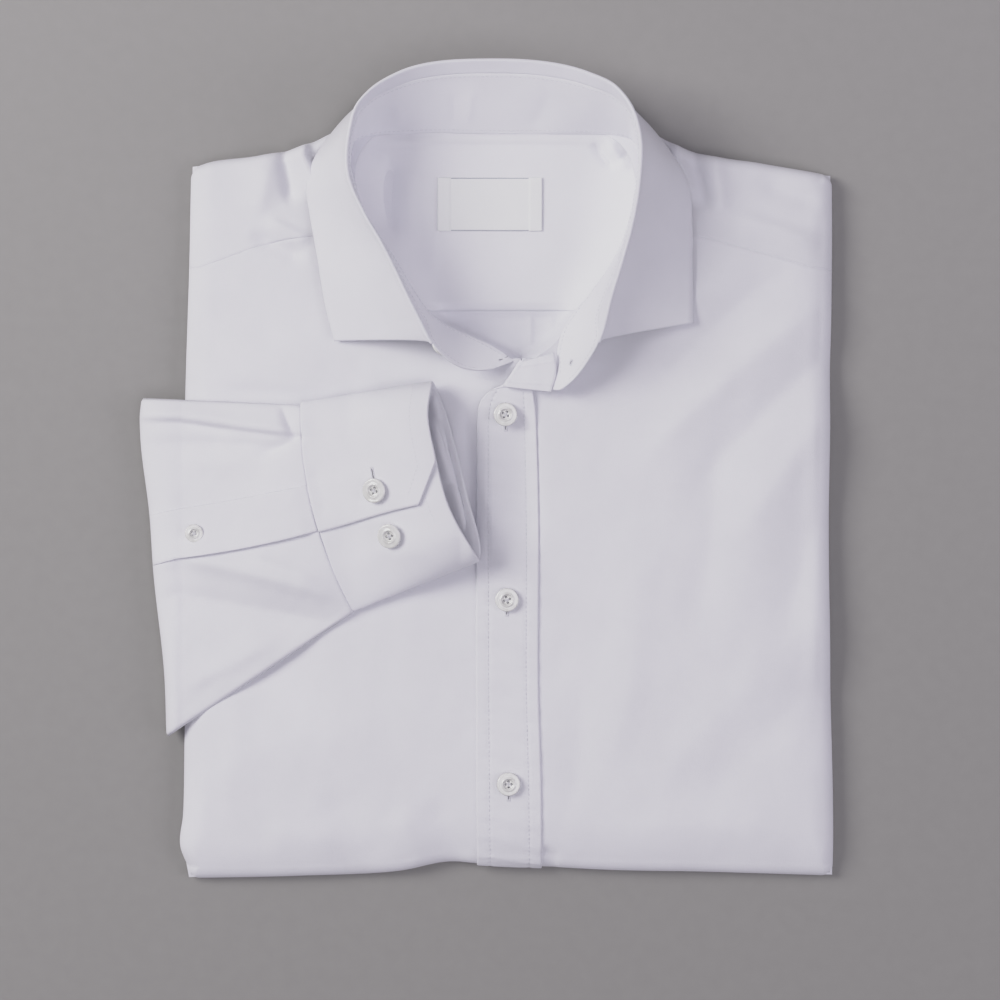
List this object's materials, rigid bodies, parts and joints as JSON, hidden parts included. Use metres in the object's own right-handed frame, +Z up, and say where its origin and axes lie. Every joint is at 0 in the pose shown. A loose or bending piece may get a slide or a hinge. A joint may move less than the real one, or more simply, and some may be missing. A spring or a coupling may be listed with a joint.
{
  "type": "folded dress shirt",
  "caption": "White long-sleeved dress shirt folded flat, spread collar standing open, a sleeve and its buttoned cuff brought across the front over a buttoned placket.",
  "frame": {"origin": "middle of the shirt's outline seen from above, on the surface that it lies on", "axes": "+Z up from the surface, out of the shirt's front; +Y up the front towards the collar; +X towards the wearer's left side, at the right as seen from above"},
  "size_m": [0.3337, 0.3943, 0.0505],
  "materials": {
    "cotton": "crisp white cotton poplin with a faint lavender cast in its shade",
    "label_cloth": "smooth woven white",
    "pearl": "glossy translucent pearl"
  },
  "bodies": {
    "root": {"folded_layers": "cotton", "right_front": "cotton", "left_front": "cotton", "front_placket": "cotton", "yoke": "cotton", "yoke_lining": "cotton", "back": "cotton", "collar_stand": "cotton", "collar_leaf": "cotton", "right_sleeve": "cotton", "sleeve_gauntlet": "cotton", "right_cuff": "cotton", "label": "label_cloth", "front_button_1": "pearl", "front_button_2": "pearl", "front_button_3": "pearl", "collar_button": "pearl", "cuff_button_1": "pearl", "cuff_button_2": "pearl", "gauntlet_button": "pearl"}
  },
  "joints": []
}
